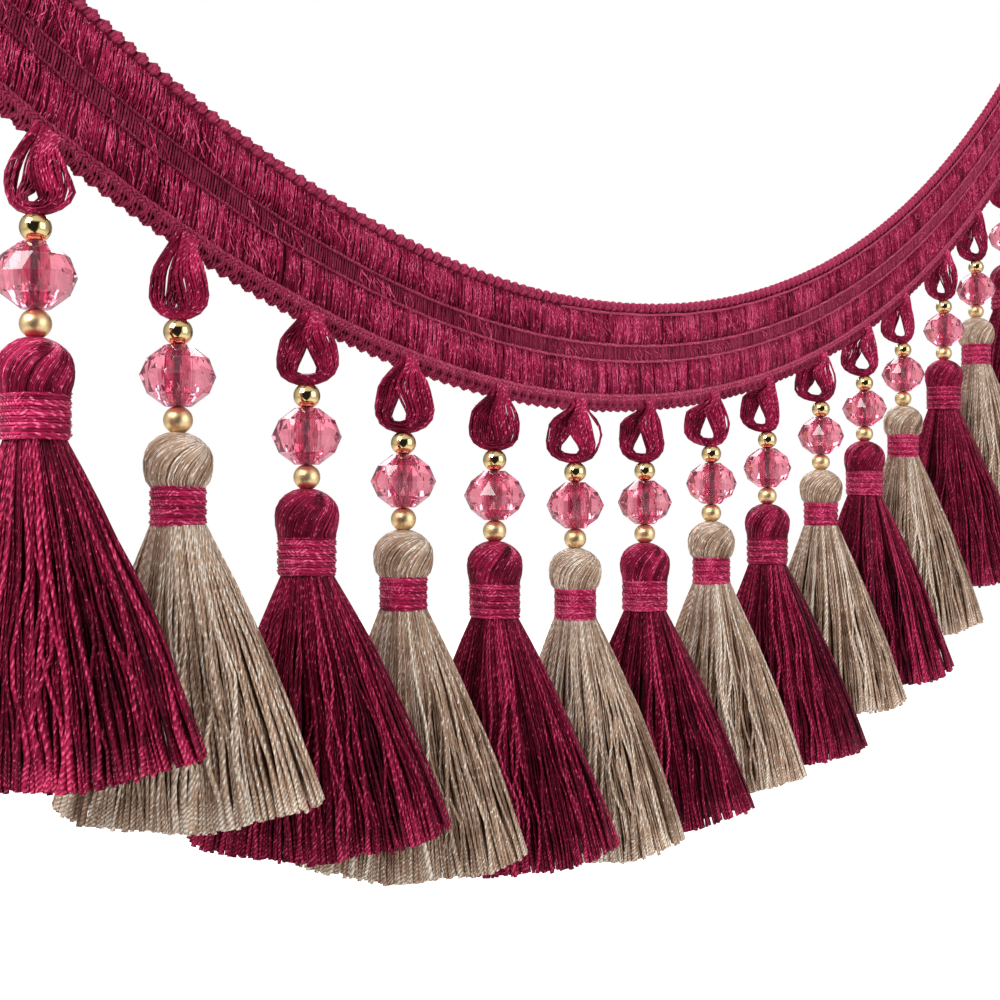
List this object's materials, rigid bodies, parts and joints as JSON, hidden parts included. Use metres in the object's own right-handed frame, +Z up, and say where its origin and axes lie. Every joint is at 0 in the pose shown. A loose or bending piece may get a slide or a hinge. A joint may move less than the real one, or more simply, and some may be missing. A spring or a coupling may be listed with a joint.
{
  "type": "beaded tassel fringe trim",
  "caption": "Length of gimp braid hung in an uneven swag, with yarn loops, gold and pink crystal beads and flared two-colour tassels along its lower edge.",
  "frame": {"origin": "the lowest point of the braid's top edge, in the middle of its thickness", "axes": "+X along the hanging braid towards its steep end, +Z up, and the braid's face looks along -Y"},
  "size_m": [0.4294, 0.0405, 0.2435],
  "materials": {
    "braid_yarn": "satin float braid with duller chain lines",
    "raspberry_yarn": "lustrous rayon yarn",
    "taupe_yarn": "lustrous rayon yarn",
    "gold_bead": "bright upper beads, satin lower beads",
    "pink_glass": "clear pink, faceted"
  },
  "bodies": {
    "root": {"braid_tape": "braid_yarn", "loop_edge": "braid_yarn", "bead_string_01": "gold_bead", "crystal_01": "pink_glass", "tassel_01": "raspberry_yarn", "bead_string_02": "gold_bead", "crystal_02": "pink_glass", "tassel_02": "taupe_yarn", "neck_wrap_02": "raspberry_yarn", "bead_string_03": "gold_bead", "crystal_03": "pink_glass", "tassel_03": "raspberry_yarn", "bead_string_04": "gold_bead", "crystal_04": "pink_glass", "tassel_04": "taupe_yarn", "neck_wrap_04": "raspberry_yarn", "bead_string_05": "gold_bead", "crystal_05": "pink_glass", "tassel_05": "raspberry_yarn", "bead_string_06": "gold_bead", "crystal_06": "pink_glass", "tassel_06": "taupe_yarn", "neck_wrap_06": "raspberry_yarn", "bead_string_07": "gold_bead", "crystal_07": "pink_glass", "tassel_07": "raspberry_yarn", "bead_string_08": "gold_bead", "crystal_08": "pink_glass", "tassel_08": "taupe_yarn", "neck_wrap_08": "raspberry_yarn", "bead_string_09": "gold_bead", "crystal_09": "pink_glass", "tassel_09": "raspberry_yarn", "bead_string_10": "gold_bead", "crystal_10": "pink_glass", "tassel_10": "taupe_yarn", "neck_wrap_10": "raspberry_yarn", "bead_string_11": "gold_bead", "crystal_11": "pink_glass", "tassel_11": "raspberry_yarn", "bead_string_12": "gold_bead", "crystal_12": "pink_glass", "tassel_12": "taupe_yarn", "neck_wrap_12": "raspberry_yarn", "bead_string_13": "gold_bead", "crystal_13": "pink_glass", "tassel_13": "raspberry_yarn", "bead_string_14": "gold_bead", "crystal_14": "pink_glass", "tassel_14": "taupe_yarn", "neck_wrap_14": "raspberry_yarn", "bead_string_15": "gold_bead", "crystal_15": "pink_glass", "tassel_15": "raspberry_yarn"}
  },
  "joints": []
}
